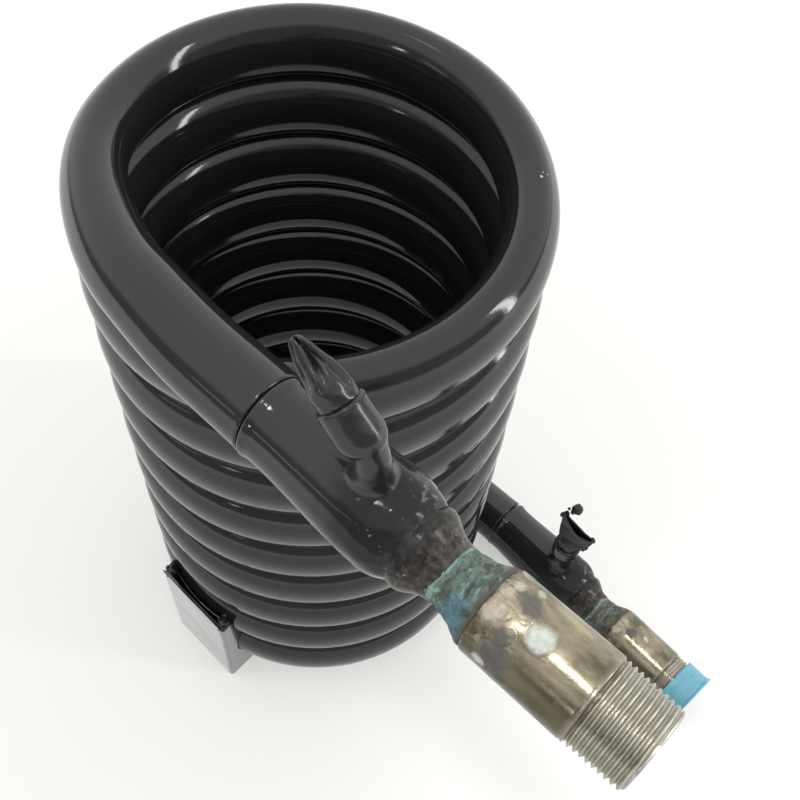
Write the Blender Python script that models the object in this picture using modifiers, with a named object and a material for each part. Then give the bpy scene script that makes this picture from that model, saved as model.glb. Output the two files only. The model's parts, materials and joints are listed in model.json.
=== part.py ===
"""Coaxial coil wort chiller: a water tube inside a flattened, coiled outer tube.

Metres, +Z up along the coil's axis.  Both headers leave the coil towards -Y,
the upper one on the -X side and the lower one on the +X side.  The origin is
under the middle of the whole part, on the floor.
"""
import math

import bmesh
import bpy
from mathutils import Matrix, Vector

# Coil
TURNS = 9.5
PITCH = 0.0322
COIL_RADIUS = 0.0787
FLAT_RADIAL = 0.0103
FLAT_AXIAL = 0.01585
TUBE_RADIUS = 0.01427
TUBE_WALL = 0.0015
LOWER_ROUNDING_ARC = math.radians(50)
STATIONS_PER_TURN = 16
OUTER_SIDES = 12
WATER_TUBE_RADIUS = 0.0074
WATER_TUBE_WALL = 0.0010
WATER_TUBE_SIDES = 6

# Legs: from the coil's tangent point to the seam with the header body
UPPER_LEG = 0.064
LOWER_LEG = 0.0758
UPPER_LEG_SHIFT = 0.0025
UPPER_LEG_STEPS = 3
UPPER_ROUND_START = 0.037
UPPER_ROUND_END = 0.188
# (distance along the tube from the upper seam, offset outwards from the coil's radius)
LEG_BEND = ((0.025, UPPER_LEG_SHIFT), (0.097, -0.0030), (0.150, 0.0))
LOWER_HEADER_TURN = math.radians(4.3)
LOWER_AXIS_HEIGHT = 0.0162

# Header pieces, measured outwards from the seam
GAP = 0.0003
SEAM_GAP = 0.0014
TURNED_STEPS = 20
SPIGOT_LENGTH = 0.006
SPIGOT_RADIUS = 0.0116
BODY_START_RADIUS = 0.0139
BODY_MAX_RADIUS = 0.0162
BODY_LENGTH = 0.057
BODY_SHOULDER = ((0.0126, 0.0), (0.0145, 0.0018), (0.0157, 0.0048), (BODY_MAX_RADIUS, 0.0095))
BODY_BARREL = ((0.0160, 0.0400), (0.0149, 0.0220), (BODY_START_RADIUS, SEAM_GAP))
BODY_INSIDE = ((0.0125, 0.0220), (0.0138, 0.0440), (0.0124, 0.0528))
BODY_END_WALL = 0.0026
NECK_RADIUS = 0.0094
NECK_WALL = 0.0014
NECK_START = 0.0500
NECK_END = 0.0940
NECK_HOLE = NECK_RADIUS + 0.00035
COLLAR_END = 0.0662
COLLAR_CURVE = ((0.0104, 0.0006), (0.0120, 0.0030), (0.0131, 0.0054), (0.0135, 0.0069))
COLLAR_FOOT_RADIUS = 0.0130
SOLDER_START = 0.0750
SOLDER_END = 0.0826
SOLDER_CURVE = ((0.0119, 0.0), (0.0109, 0.0034), (0.0100, 0.0076))
NIPPLE_START = 0.0830
NIPPLE_END = 0.1340
NIPPLE_RADIUS = 0.01334
NIPPLE_BORE = 0.0104
NIPPLE_BORE_START = 0.0960
NIPPLE_CHAMFER = 0.0008
WATER_TUBE_REACH = 0.0880
THREAD_PITCH = 0.001814
THREAD_COUNT = 10
THREAD_DEPTH = 0.0011
THREAD_TAPER = 1 / 32
THREAD_RUN_OUT = 0.0004
CAP_START = 0.1225
CAP_BORE = 0.01365
CAP_WALL = 0.0009
CAP_RIM = 0.0153
CAP_RIM_CURVE = ((CAP_RIM, 0.0), (CAP_RIM, 0.0012), (CAP_BORE + CAP_WALL, 0.0015))
CAP_END_THICKNESS = 0.0013

# Refrigerant stub on each header body
STUB_STATION = 0.040
STUB_SIDES = 12
STUB_RADIUS = 0.0054
STUB_WALL = 0.0011
CUP_RADIUS = 0.0073
PORT_RADIUS = 0.0036
FILLET_RADIUS = 0.0074
FILLET_HEIGHT = 0.0038
FILLET_DEPTH = 0.0030
FILLET_CURVE = ((0.0004, 0.0), (0.0009, 0.0022))
FILLET_EDGE = 0.0026
SADDLE_RADIUS = BODY_MAX_RADIUS + GAP
BEAD_CURVE = ((0.0006, 0.0010), (STUB_WALL, 0.0003))
BEAD_HEIGHT = 0.0012

# Stub paths: height above the header's axis, distance from the seam, half width, half thickness
UPPER_SOCKET = [
    (0.0120, 0.0400, STUB_RADIUS, STUB_RADIUS), (0.0225, 0.0400, STUB_RADIUS, STUB_RADIUS),
    (0.0260, 0.0392, 0.0055, 0.0055),
    (0.0300, 0.0372, 0.0062, 0.0062), (0.0345, 0.0337, CUP_RADIUS, CUP_RADIUS),
    (0.0400, 0.0287, CUP_RADIUS, CUP_RADIUS),
]
UPPER_CRIMP = [
    (0.0365, 0.0319, 0.0057, 0.0057), (0.0412, 0.0276, 0.0057, 0.0057), (0.0432, 0.0256, 0.0066, 0.0066),
    (0.0455, 0.0228, 0.0066, 0.0064), (0.0482, 0.0190, 0.0058, 0.0054), (0.0502, 0.0153, 0.0046, 0.0040),
    (0.0517, 0.0122, 0.0028, 0.0024),
]
LOWER_SOCKET = [
    (0.0120, 0.0400, STUB_RADIUS, STUB_RADIUS), (0.0250, 0.0400, STUB_RADIUS, STUB_RADIUS),
    (0.0290, 0.0400, 0.0064, 0.0064), (0.0320, 0.0400, CUP_RADIUS, CUP_RADIUS),
    (0.0385, 0.0400, CUP_RADIUS, CUP_RADIUS),
]
LOWER_CRIMP = [
    (0.0345, 0.0400, 0.0057, 0.0057), (0.0392, 0.0400, 0.0057, 0.0057), (0.0440, 0.0398, 0.0064, 0.0048),
    (0.0500, 0.0396, 0.0074, 0.0036), (0.0560, 0.0394, 0.0084, 0.0024), (0.0600, 0.0392, 0.0088, 0.0018),
]

# Foot bracket on the -X side
WEB_DISTANCE = 0.0940
BRACKET_WIDTH = 0.0455
BRACKET_HEIGHT = 0.0740
BRACKET_SHEET = 0.0015
BRACKET_OFFSET = -0.0012
FLANGE_TOP = 0.0700
FLANGE_DEPTH = 0.0170
FLANGE_TIP_HEIGHT = 0.0035
FLANGE_SAMPLES = 22
FLANGE_CLEARANCE = 0.0007
TACK_SIZE = (0.0030, 0.0026, 0.0019)
TACK_DISTANCE = 0.0891

# Placement: the coil's axis stands so that the whole part is centred on the origin
LOWER_REACH = LOWER_LEG + (NIPPLE_END + GAP + CAP_END_THICKNESS) * math.cos(LOWER_HEADER_TURN)
CAP_LEAN = CAP_RIM * math.sin(LOWER_HEADER_TURN)
AXIS_X = (WEB_DISTANCE - COIL_RADIUS - TUBE_RADIUS) / 2
AXIS_Y = (LOWER_REACH + CAP_LEAN - COIL_RADIUS - FLAT_RADIAL) / 2
UPPER_AXIS_HEIGHT = LOWER_AXIS_HEIGHT + TURNS * PITCH

PAINTED_STEEL = ((0.018, 0.018, 0.020, 1), 0.18, 0.0)
RAW_STEEL = ((0.10, 0.10, 0.105, 1), 0.35, 0.8)
COPPER_PATINA = ((0.18, 0.33, 0.31, 1), 0.75, 0.3)
SOLDER_CRUST = ((0.30, 0.42, 0.37, 1), 0.85, 0.1)
NICKEL_BRASS = ((0.50, 0.45, 0.36, 1), 0.30, 1.0)
BLUE_PLASTIC = ((0.05, 0.42, 0.62, 1), 0.45, 0.0)
COPPER = ((0.60, 0.30, 0.18, 1), 0.40, 1.0)


def clear_scene():
    for item in list(bpy.data.objects):
        bpy.data.objects.remove(item, do_unlink=True)


def collection(name):
    group = bpy.data.collections.new(name)
    bpy.context.scene.collection.children.link(group)
    return group


def material(name, look):
    made = bpy.data.materials.new(name)
    made.use_nodes = True
    shader = made.node_tree.nodes["Principled BSDF"]
    shader.inputs["Base Color"].default_value = look[0]
    shader.inputs["Roughness"].default_value = look[1]
    shader.inputs["Metallic"].default_value = look[2]
    return made


def add_object(name, mesh, look, parent=None):
    """Link a mesh as a named piece with its own material."""
    piece = bpy.data.objects.new(name, mesh)
    PARTS.objects.link(piece)
    mesh.materials.append(material(name, look))
    piece.parent = parent
    return piece


def mesh_from(bm, name):
    bmesh.ops.recalc_face_normals(bm, faces=bm.faces)
    mesh = bpy.data.meshes.new(name)
    bm.to_mesh(mesh)
    bm.free()
    mesh.shade_smooth()
    mesh.set_sharp_from_angle(angle=math.radians(40))
    return mesh


def smoothstep(value):
    value = min(max(value, 0.0), 1.0)
    return value * value * (3 - 2 * value)


def section_ring(centre, across, up, half_width, half_height, sides):
    """An elliptical ring of points about a centre."""
    ring = []
    for step in range(sides):
        angle = 2 * math.pi * step / sides
        ring.append(centre + across * half_width * math.cos(angle) + up * half_height * math.sin(angle))
    return ring


def loft(rings, cyclic):
    """Skin a sequence of equal rings, either closed on itself or capped at both ends."""
    bm = bmesh.new()
    rows = [[bm.verts.new(point) for point in ring] for ring in rings]
    sides = len(rows[0])
    pairs = list(zip(rows, rows[1:]))
    if cyclic:
        pairs.append((rows[-1], rows[0]))
    for low, high in pairs:
        for step in range(sides):
            after = (step + 1) % sides
            bm.faces.new((low[step], low[after], high[after], high[step]))
    if not cyclic:
        bm.faces.new(rows[0])
        bm.faces.new(rows[-1])
    return bm


# ---------------------------------------------------------------- coil path


def leg_offset(travelled):
    """How far outside the coil's radius the tube runs, at a distance along it from the upper seam."""
    offset = UPPER_LEG_SHIFT
    for (start, before), (end, after) in zip(LEG_BEND, LEG_BEND[1:]):
        offset += (after - before) * smoothstep((travelled - start) / (end - start))
    return offset


def upper_roundness(travelled):
    """1 where the tube is still round, falling to 0 where the winding has flattened it."""
    return smoothstep((UPPER_ROUND_END - travelled) / (UPPER_ROUND_END - UPPER_ROUND_START))


def half_sizes(blend):
    """Half width and half height of the section, from flattened at 0 to round at 1."""
    width = FLAT_RADIAL + (TUBE_RADIUS - FLAT_RADIAL) * blend
    height = FLAT_AXIAL + (TUBE_RADIUS - FLAT_AXIAL) * blend
    return width, height


def coil_station(turned):
    """Centre and section of the coil after it has turned by an angle from its upper end."""
    left = 2 * math.pi * TURNS - turned
    travelled = UPPER_LEG + COIL_RADIUS * turned
    blend = max(upper_roundness(travelled), smoothstep(1 - left / LOWER_ROUNDING_ARC))
    angle = math.pi - turned
    across = Vector((math.cos(angle), math.sin(angle), 0))
    along = Vector((COIL_RADIUS * math.sin(angle), -COIL_RADIUS * math.cos(angle), -PITCH / (2 * math.pi)))
    up = along.normalized().cross(across)
    radius = COIL_RADIUS + leg_offset(travelled)
    centre = across * radius + Vector((AXIS_X, AXIS_Y, UPPER_AXIS_HEIGHT - PITCH * turned / (2 * math.pi)))
    return centre, across, up, *half_sizes(blend)


def seam_point(upper):
    if upper:
        return Vector((AXIS_X - COIL_RADIUS - UPPER_LEG_SHIFT, AXIS_Y - UPPER_LEG, UPPER_AXIS_HEIGHT))
    return Vector((AXIS_X + COIL_RADIUS, AXIS_Y - LOWER_LEG, LOWER_AXIS_HEIGHT))


def header_direction(upper):
    turn = 0.0 if upper else LOWER_HEADER_TURN
    return Vector((-math.sin(turn), -math.cos(turn), 0))


def leg_station(upper, centre):
    across = Vector((-1, 0, 0)) if upper else Vector((1, 0, 0))
    return centre, across, Vector((0, 0, 1)), TUBE_RADIUS, TUBE_RADIUS


def upper_leg_stations():
    """The upper leg from its seam to the start of the coil, bending in as it flattens."""
    stations = []
    for step in range(UPPER_LEG_STEPS):
        travelled = UPPER_LEG * step / UPPER_LEG_STEPS
        beside = AXIS_X - COIL_RADIUS - leg_offset(travelled)
        centre = Vector((beside, AXIS_Y - UPPER_LEG + travelled, UPPER_AXIS_HEIGHT))
        sizes = half_sizes(upper_roundness(travelled))
        stations.append((centre, Vector((-1, 0, 0)), Vector((0, 0, 1)), *sizes))
    return stations


def turn_angles(start, end):
    """Angles of the stations from one number of turns to another."""
    count = round((end - start) * STATIONS_PER_TURN)
    return [2 * math.pi * (start + step / STATIONS_PER_TURN) for step in range(count + 1)]


def tube_path():
    """Stations from the upper seam, round the coil, to the lower seam."""
    stations = upper_leg_stations()
    stations += [coil_station(turned) for turned in turn_angles(0, TURNS)]
    stations.append(leg_station(False, seam_point(False)))
    return stations


def hollow_loft(stations, sides, wall):
    """A tube with an open bore, skinned over stations of centre, axes and half sizes."""
    outer = [section_ring(c, a, u, w, h, sides) for c, a, u, w, h in stations]
    inner = [section_ring(c, a, u, w - wall, h - wall, sides) for c, a, u, w, h in stations]
    return loft(outer + inner[::-1], cyclic=True)


def outer_tube_length(number):
    """One turn of the outer tube; the first and the last also hold their leg."""
    start = number - 1
    end = min(number, TURNS)
    angles = turn_angles(start, end)
    joint = GAP / 2 / COIL_RADIUS
    if number > 1:
        angles[0] += joint
    if end < TURNS:
        angles[-1] -= joint
    stations = [coil_station(turned) for turned in angles]
    if number == 1:
        stations = upper_leg_stations() + stations
    if end == TURNS:
        stations.append(leg_station(False, seam_point(False)))
    name = f"outer_tube_length_{number:02d}"
    add_object(name, mesh_from(hollow_loft(stations, OUTER_SIDES, TUBE_WALL), name), PAINTED_STEEL)


def inner_water_tube():
    """The tube inside the outer one, running on into both necks."""
    ends = [seam_point(upper) + header_direction(upper) * WATER_TUBE_REACH for upper in (True, False)]
    path = tube_path()
    path = [leg_station(True, ends[0])] + path + [leg_station(False, ends[1])]
    radius = WATER_TUBE_RADIUS
    stations = [(centre, across, up, radius, radius) for centre, across, up, _, _ in path]
    bm = hollow_loft(stations, WATER_TUBE_SIDES, WATER_TUBE_WALL)
    add_object("inner_water_tube", mesh_from(bm, "inner_water_tube"), COPPER)


# ------------------------------------------------------------ header pieces


def header_frame(prefix, upper):
    """An empty at the seam: local Z runs out along the header and local X points up."""
    empty = bpy.data.objects.new(prefix + "_header_frame", None)
    PARTS.objects.link(empty)
    out = header_direction(upper)
    up = Vector((0, 0, 1))
    side = out.cross(up)
    turn = Matrix((up, side, out)).transposed()
    empty.rotation_euler = turn.to_euler()
    empty.location = seam_point(upper)
    return empty


def turned(name, profile, look, parent, closed=True, steps=TURNED_STEPS):
    """Spin an (radius, distance) outline about local Z with a Screw modifier."""
    mesh = bpy.data.meshes.new(name)
    edges = [(step, step + 1) for step in range(len(profile) - 1)]
    if closed:
        edges.append((len(profile) - 1, 0))
    mesh.from_pydata([(radius, 0, along) for radius, along in profile], edges, [])
    piece = add_object(name, mesh, look, parent)
    spin = piece.modifiers.new("turned", "SCREW")
    spin.steps = steps
    spin.render_steps = steps
    spin.use_merge_vertices = True
    spin.merge_threshold = 0.00001
    spin.use_smooth_shade = True
    return piece


def cut(piece, cutter):
    step = piece.modifiers.new("cut", "BOOLEAN")
    step.operation = "DIFFERENCE"
    step.object = cutter


def cutter_cylinder(name, radius, depth, parent, location, rotation=(0, 0, 0)):
    bm = bmesh.new()
    bmesh.ops.create_cone(bm, cap_ends=True, segments=TURNED_STEPS,
                          radius1=radius, radius2=radius, depth=depth)
    mesh = bpy.data.meshes.new(name)
    bm.to_mesh(mesh)
    bm.free()
    cutter = bpy.data.objects.new(name, mesh)
    CUTTERS.objects.link(cutter)
    cutter.parent = parent
    cutter.location = location
    cutter.rotation_euler = rotation
    cutter.hide_render = True
    cutter.display_type = "WIRE"
    return cutter


def body_profile():
    """Spigot, swelling barrel and rounded shoulder, then back along the inside."""
    shoulder = [(radius, BODY_LENGTH - back) for radius, back in BODY_SHOULDER]
    outer = [(NECK_HOLE, BODY_LENGTH)] + shoulder + list(BODY_BARREL)
    outer += [(SPIGOT_RADIUS, SEAM_GAP), (SPIGOT_RADIUS, -SPIGOT_LENGTH)]
    inner = [(SPIGOT_RADIUS - TUBE_WALL, -SPIGOT_LENGTH), (SPIGOT_RADIUS - TUBE_WALL, SEAM_GAP)]
    inner += list(BODY_INSIDE) + [(NECK_HOLE, BODY_LENGTH - BODY_END_WALL)]
    return outer + inner


def header_body(prefix, frame):
    body = turned(prefix + "_header_body", body_profile(), PAINTED_STEEL, frame)
    port = cutter_cylinder(prefix + "_port_cutter", PORT_RADIUS, BODY_MAX_RADIUS,
                           frame, (BODY_MAX_RADIUS, 0, STUB_STATION), (0, math.pi / 2, 0))
    cut(body, port)


def weld_collar(prefix, frame):
    """The ring of braze that closes the body on to the neck."""
    start = BODY_LENGTH + GAP
    curve = [(radius, COLLAR_END - back) for radius, back in COLLAR_CURVE]
    profile = [(NECK_HOLE, COLLAR_END)] + curve + [(COLLAR_FOOT_RADIUS, start), (NECK_HOLE, start)]
    turned(prefix + "_weld_collar", profile, PAINTED_STEEL, frame)


def neck_sleeve(prefix, frame):
    bore = NECK_RADIUS - NECK_WALL
    profile = [(bore, NECK_END), (NECK_RADIUS, NECK_END), (NECK_RADIUS, NECK_START), (bore, NECK_START)]
    turned(prefix + "_neck_sleeve", profile, COPPER_PATINA, frame)


def solder_ring(prefix, frame):
    curve = [(radius, SOLDER_END - back) for radius, back in SOLDER_CURVE]
    profile = [(NECK_HOLE, SOLDER_END)] + curve + [(NECK_HOLE, SOLDER_START)]
    turned(prefix + "_solder_ring", profile, SOLDER_CRUST, frame)


def nipple_profile():
    """Plain barrel, then tapered thread crests and roots, with a stepped bore."""
    thread_start = NIPPLE_END - THREAD_RUN_OUT - THREAD_COUNT * THREAD_PITCH
    outer = [(NIPPLE_RADIUS - NIPPLE_CHAMFER, NIPPLE_START), (NIPPLE_RADIUS, NIPPLE_START + NIPPLE_CHAMFER)]
    outer.append((NIPPLE_RADIUS, thread_start - THREAD_PITCH / 2))
    for turn in range(THREAD_COUNT):
        root_at = thread_start + turn * THREAD_PITCH
        crest_at = root_at + THREAD_PITCH / 2
        outer.append((NIPPLE_RADIUS - THREAD_DEPTH - THREAD_TAPER * (root_at - thread_start), root_at))
        outer.append((NIPPLE_RADIUS - THREAD_TAPER * (crest_at - thread_start), crest_at))
    outer.append((NIPPLE_RADIUS - THREAD_DEPTH - THREAD_TAPER * THREAD_COUNT * THREAD_PITCH, NIPPLE_END))
    inner = [(NECK_HOLE, NIPPLE_START), (NECK_HOLE, NIPPLE_BORE_START),
             (NIPPLE_BORE, NIPPLE_BORE_START), (NIPPLE_BORE, NIPPLE_END)]
    return outer[::-1] + inner


def threaded_nipple(prefix, frame):
    turned(prefix + "_threaded_nipple", nipple_profile(), NICKEL_BRASS, frame)


def thread_cap(frame):
    """A push-on cap whose open end points back at the coil; it pulls off along the header."""
    length = NIPPLE_END + GAP + CAP_END_THICKNESS - CAP_START
    floor = length - CAP_END_THICKNESS
    profile = [(0, length)] + [(radius, length - back) for radius, back in CAP_RIM_CURVE]
    profile += [(CAP_BORE + CAP_WALL, 0), (CAP_BORE, 0), (CAP_BORE, floor), (0, floor)]
    cap = turned("thread_cap", profile, BLUE_PLASTIC, frame, closed=False)
    cap.location = (0, 0, CAP_START)


# ------------------------------------------------------------ stub pieces


def stub_rings(path, sides):
    """Rings square to a path in the header's upright plane; each entry is height, distance, sizes."""
    centres = [Vector((height, 0, along)) for height, along, _, _ in path]
    rings = []
    for step, (_, _, width, thickness) in enumerate(path):
        before = centres[max(step - 1, 0)]
        after = centres[min(step + 1, len(centres) - 1)]
        tangent = (after - before).normalized()
        side = Vector((0, 1, 0))
        rings.append(section_ring(centres[step], tangent.cross(side), side, width, thickness, sides))
    return rings


def thinned(path):
    """The same path with its half sizes one wall smaller."""
    return [(row[0], row[1], row[2] - STUB_WALL, row[3] - STUB_WALL) for row in path]


def saddle_cutter(prefix, frame):
    name = prefix + "_saddle_cutter"
    return cutter_cylinder(name, SADDLE_RADIUS, 2 * BODY_LENGTH, frame, (0, 0, STUB_STATION))


def stub_socket(prefix, frame, saddle, path):
    outer = stub_rings(path, STUB_SIDES)
    inner = stub_rings(thinned(path), STUB_SIDES)
    bm = loft(outer + inner[::-1], cyclic=True)
    name = prefix + "_stub_socket"
    socket = add_object(name, mesh_from(bm, name), PAINTED_STEEL, frame)
    cut(socket, saddle)


def stub_fillet(prefix, frame, saddle):
    """The braze round the foot of the socket."""
    low = BODY_MAX_RADIUS - FILLET_DEPTH
    hole = STUB_RADIUS + GAP
    top = BODY_MAX_RADIUS + FILLET_HEIGHT
    profile = [(hole, top)] + [(hole + out, top - down) for out, down in FILLET_CURVE]
    profile += [(FILLET_RADIUS, low + FILLET_EDGE), (FILLET_RADIUS, low), (hole, low)]
    fillet = turned(prefix + "_stub_fillet", profile, PAINTED_STEEL, frame, steps=STUB_SIDES)
    fillet.location = (0, 0, STUB_STATION)
    fillet.rotation_euler = (0, math.pi / 2, 0)
    cut(fillet, saddle)


def braze_ring(prefix, frame, centre, outward):
    """The bead between the socket's lip and the tube in it."""
    hole = CUP_RADIUS - STUB_WALL
    profile = [(hole, BEAD_HEIGHT)] + [(hole + out, up) for out, up in BEAD_CURVE]
    profile += [(CUP_RADIUS, 0), (hole, 0)]
    ring = turned(prefix + "_braze_ring", profile, PAINTED_STEEL, frame, steps=STUB_SIDES)
    ring.location = centre
    ring.rotation_euler = outward.to_track_quat("Z", "Y").to_euler()


def crimped_tube(prefix, frame, path):
    """A tube end pinched shut, hollow from its open foot."""
    outer = stub_rings(path, STUB_SIDES)
    hollow = stub_rings(thinned(path), STUB_SIDES)[:-2]
    bm = loft(outer[::-1] + hollow, cyclic=False)
    add_object(prefix + "_crimped_tube", mesh_from(bm, prefix + "_crimped_tube"), PAINTED_STEEL, frame)


# ------------------------------------------------------------ foot bracket


def pass_height(sideways):
    """Height of the lowest pass of the coil beside the bracket, at a sideways offset."""
    turned_past = math.asin(sideways / COIL_RADIUS)
    return UPPER_AXIS_HEIGHT - PITCH * (math.floor(TURNS) + turned_past / (2 * math.pi))


def flange_outline(sideways):
    """Side view of a flange: straight outer edge, inner edge scalloped round two passes."""
    edge = WEB_DISTANCE - BRACKET_SHEET / 2
    limit = WEB_DISTANCE - FLANGE_DEPTH
    points = [(limit, 0.0), (edge, 0.0), (edge, FLANGE_TOP)]
    for step in range(FLANGE_SAMPLES + 1):
        level = FLANGE_TOP - (FLANGE_TOP - FLANGE_TIP_HEIGHT) * step / FLANGE_SAMPLES
        depth = limit
        for lift in (0, PITCH):
            offset = (level - pass_height(sideways) - lift) / (FLAT_AXIAL + FLANGE_CLEARANCE)
            if abs(offset) < 1:
                reach = COIL_RADIUS + (FLAT_RADIAL + FLANGE_CLEARANCE) * math.sqrt(1 - offset * offset)
                depth = max(depth, math.sqrt(reach * reach - sideways * sideways))
        points.append((depth, level))
    return points


def flange(name, sideways):
    outline = bpy.data.curves.new(name, "CURVE")
    outline.dimensions = "2D"
    outline.fill_mode = "BOTH"
    outline.extrude = BRACKET_SHEET / 2
    spline = outline.splines.new("POLY")
    points = flange_outline(sideways)
    spline.points.add(len(points) - 1)
    for point, (depth, level) in zip(spline.points, points):
        point.co = (AXIS_X - depth, level, 0, 1)
    spline.use_cyclic_u = True
    guide = bpy.data.objects.new(name, outline)
    CUTTERS.objects.link(guide)
    guide.rotation_euler = (math.pi / 2, 0, 0)
    guide.location = (0, AXIS_Y + sideways, 0)
    return curve_to_mesh(guide)


def curve_to_mesh(guide):
    """Turn a filled curve into a closed mesh object at the same place."""
    bpy.context.view_layer.update()
    depsgraph = bpy.context.evaluated_depsgraph_get()
    mesh = bpy.data.meshes.new_from_object(guide.evaluated_get(depsgraph))
    place = guide.matrix_world.copy()
    name = guide.name
    bpy.data.objects.remove(guide, do_unlink=True)
    bm = bmesh.new()
    bm.from_mesh(mesh)
    bmesh.ops.remove_doubles(bm, verts=bm.verts, dist=0.00001)
    bm.to_mesh(mesh)
    bm.free()
    solid = bpy.data.objects.new(name, mesh)
    CUTTERS.objects.link(solid)
    solid.matrix_world = place
    solid.hide_render = True
    solid.display_type = "WIRE"
    return solid


def foot_bracket():
    """A folded channel: flat web outwards, one scalloped flange at each side."""
    bm = bmesh.new()
    bmesh.ops.create_cube(bm, size=1)
    bmesh.ops.scale(bm, vec=(BRACKET_SHEET, BRACKET_WIDTH, BRACKET_HEIGHT), verts=bm.verts)
    web = add_object("foot_bracket", mesh_from(bm, "foot_bracket"), PAINTED_STEEL)
    web.location = (AXIS_X - WEB_DISTANCE + BRACKET_SHEET / 2, AXIS_Y + BRACKET_OFFSET, BRACKET_HEIGHT / 2)
    reach = BRACKET_WIDTH / 2 - BRACKET_SHEET / 2
    for side, name in ((-1, "flange_front"), (1, "flange_back")):
        join = web.modifiers.new(name, "BOOLEAN")
        join.operation = "UNION"
        join.object = flange(name, BRACKET_OFFSET + side * reach)


def tack_weld(name, side):
    bm = bmesh.new()
    bmesh.ops.create_uvsphere(bm, u_segments=10, v_segments=7, radius=1)
    bmesh.ops.scale(bm, vec=TACK_SIZE, verts=bm.verts)
    tack = add_object(name, mesh_from(bm, name), PAINTED_STEEL)
    sideways = BRACKET_OFFSET + side * (BRACKET_WIDTH / 2 - TACK_SIZE[1])
    tack.location = (AXIS_X - TACK_DISTANCE, AXIS_Y + sideways, FLANGE_TOP + TACK_SIZE[2] + GAP)


# ------------------------------------------------------------ assembly


def header(prefix, upper, socket_path, crimp_path):
    frame = header_frame(prefix, upper)
    header_body(prefix, frame)
    weld_collar(prefix, frame)
    neck_sleeve(prefix, frame)
    solder_ring(prefix, frame)
    threaded_nipple(prefix, frame)
    saddle = saddle_cutter(prefix, frame)
    stub_socket(prefix, frame, saddle, socket_path)
    stub_fillet(prefix, frame, saddle)
    lip = Vector((socket_path[-1][0], 0, socket_path[-1][1]))
    below = Vector((socket_path[-2][0], 0, socket_path[-2][1]))
    outward = (lip - below).normalized()
    braze_ring(prefix, frame, lip + outward * GAP, outward)
    crimped_tube(prefix, frame, crimp_path)
    return frame


clear_scene()
PARTS = collection("wort_chiller")
CUTTERS = collection("cutters")
for length_number in range(1, math.ceil(TURNS) + 1):
    outer_tube_length(length_number)
inner_water_tube()
header("upper", True, UPPER_SOCKET, UPPER_CRIMP)
lower_frame = header("lower", False, LOWER_SOCKET, LOWER_CRIMP)
thread_cap(lower_frame)
foot_bracket()
tack_weld("front_tack_weld", -1)
tack_weld("back_tack_weld", 1)
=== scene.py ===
import json
import math

import bmesh
import bpy
import numpy as np
from mathutils import Matrix, Vector, noise


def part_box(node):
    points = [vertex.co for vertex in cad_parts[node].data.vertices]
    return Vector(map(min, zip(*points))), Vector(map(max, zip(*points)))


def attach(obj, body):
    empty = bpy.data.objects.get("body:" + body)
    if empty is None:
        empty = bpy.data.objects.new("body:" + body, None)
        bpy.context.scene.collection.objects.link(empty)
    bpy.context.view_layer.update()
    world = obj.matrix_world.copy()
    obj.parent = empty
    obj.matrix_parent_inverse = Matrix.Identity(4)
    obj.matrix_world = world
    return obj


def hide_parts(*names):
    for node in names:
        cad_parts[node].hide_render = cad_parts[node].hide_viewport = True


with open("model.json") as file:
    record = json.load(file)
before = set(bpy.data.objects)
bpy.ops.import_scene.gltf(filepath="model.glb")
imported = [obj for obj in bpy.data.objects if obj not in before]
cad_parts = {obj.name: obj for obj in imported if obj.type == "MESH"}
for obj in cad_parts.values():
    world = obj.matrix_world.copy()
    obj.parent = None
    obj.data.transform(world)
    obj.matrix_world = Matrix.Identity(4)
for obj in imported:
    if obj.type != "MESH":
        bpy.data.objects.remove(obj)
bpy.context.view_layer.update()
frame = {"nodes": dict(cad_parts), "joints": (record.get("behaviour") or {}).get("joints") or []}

# -------------------- driving sizes, in metres

# Coil: the tube is flattened by the winding and round again at both legs
TURNS = 9.5
COIL_RADIUS = 0.0787
FLAT_RADIAL = 0.0103
FLAT_AXIAL = 0.01585
TUBE_RADIUS = 0.01427
TUBE_WALL = 0.0015
LOWER_ROUNDING_ARC = math.radians(50)
UPPER_ROUND_START = 0.037
UPPER_ROUND_END = 0.188
# (distance along the tube from the upper seam, offset outwards from the coil's radius)
LEG_BEND = ((0.025, 0.0025), (0.097, -0.0030), (0.150, 0.0))
STATIONS_PER_TURN = 96
TUBE_SIDES = 44
LEG_ROWS = 34
WINDING_WAVER = 0.00022
BELL_RISE = 0.00035
BELL_DEPTH = 0.0016
LIP_DROP = 0.0009
LIP_DEPTH = 0.0007
# The inside of the tube needs fewer rings than the outside
INSIDE_SKIP = 6

# The water tube inside, which runs on past both seams
WATER_RADIUS = 0.0074
WATER_WALL = 0.001
WATER_REACH = 0.088
WATER_STEPS = 12
WATER_SIDES = 16
WATER_SKIP = 4

# Headers, measured outwards from the seam between leg and body
OUTLINE_ROWS = 6
HEADER_STEPS = 96
NIPPLE_STEPS = 120
NIPPLE_START = 0.0830
NIPPLE_END = 0.1340
NIPPLE_RADIUS = 0.01334
NIPPLE_BORE = 0.0104
NIPPLE_SEAT = 0.0960
BARREL_ROWS = 40
NECK_START = 0.0500
NECK_END = 0.0940
NECK_MIDDLE = (NECK_START + NECK_END) / 2
NECK_RADIUS = 0.0094
NECK_BORE = 0.0080
NECK_ROWS = 60
BRAZE_RADIUS = 0.0098
BRAZE_FOOT = 0.0096
THREAD_PITCH = 0.001814
THREAD_START = 0.1150
THREAD_DEPTH = 0.00105
THREAD_TAPER = 1 / 32
THREAD_ROWS = 12
CAP_START = 0.1225
CAP_SKIRT = 0.0114
CAP_BORE = 0.01365
CAP_OUTER = 0.01455
CAP_RIM = 0.0153
CAP_END = 0.1356
CAP_RIDGE = 0.00018
CAP_TAB = 0.00048
CAP_TAB_ANGLE = math.radians(-35)
CAP_ROWS = 60

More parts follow.
